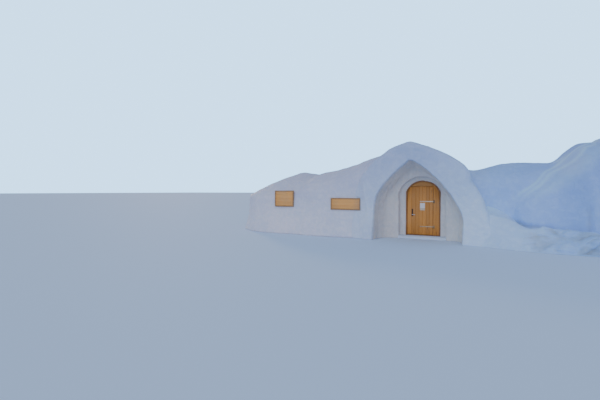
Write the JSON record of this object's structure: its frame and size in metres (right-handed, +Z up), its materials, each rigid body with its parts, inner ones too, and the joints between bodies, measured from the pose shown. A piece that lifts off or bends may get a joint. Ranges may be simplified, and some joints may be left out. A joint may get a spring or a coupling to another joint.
{
  "type": "igloo",
  "caption": "Long snow igloo with a pointed-arch porch, a round-headed timber door that opens outwards, a boarded side wing and a round snow dome.",
  "frame": {"origin": "on the ground in the middle of the doorway, in the plane of the door's outer face", "axes": "+X along the front to the right, +Y into the building, +Z up"},
  "size_m": [22.25, 9.4, 4.2],
  "materials": {
    "snow": "packed snow, matt and slightly granular",
    "door_wood": "oiled larch boards",
    "frame_wood": "dark stained timber",
    "board_wood": "sawn pine boards",
    "steel": "galvanised",
    "dark_steel": "dark painted",
    "notice": "laminated sheet"
  },
  "bodies": {
    "igloo": {"porch_left_pier": "snow", "porch_right_pier": "snow", "porch_left_crown": "snow", "porch_right_crown": "snow", "hall_front_left": "snow", "hall_front_right": "snow", "hall_front_head": "snow", "hall_roof": "snow", "hall_back_wall": "snow", "door_sill": "snow", "wing_front_wall": "snow", "wing_roof": "snow", "wing_back_wall": "snow", "wing_end_front": "snow", "wing_end_back": "snow", "link_front_wall": "snow", "link_bank": "snow", "link_roof": "snow", "link_back_wall": "snow", "dome_wall_front_left": "snow", "dome_wall_front_right": "snow", "dome_wall_back_right": "snow", "dome_wall_back_left": "snow", "dome_roof_front_left": "snow", "dome_roof_front_right": "snow", "dome_roof_back_right": "snow", "dome_roof_back_left": "snow", "frame_left_jamb": "frame_wood", "frame_right_jamb": "frame_wood", "frame_arch": "frame_wood", "threshold": "frame_wood", "head_panel": "door_wood", "side_panel": "door_wood", "hinge_pintles": "steel", "sign_panel": "board_wood", "sign_frame": "board_wood", "info_panel": "board_wood", "info_frame": "board_wood"},
    "door": {"door_leaf": "door_wood", "leaf_ledges": "door_wood", "hinge_straps": "steel", "lock_plate": "dark_steel", "door_handle": "steel", "notice_sheet": "notice"}
  },
  "joints": [
    {"name": "door_hinge", "type": "hinge", "parent": "igloo", "child": "door", "pos_m": [0.38, -0.015, 0], "axis": [0, 0, 1], "range_deg": [0, 95]}
  ]
}
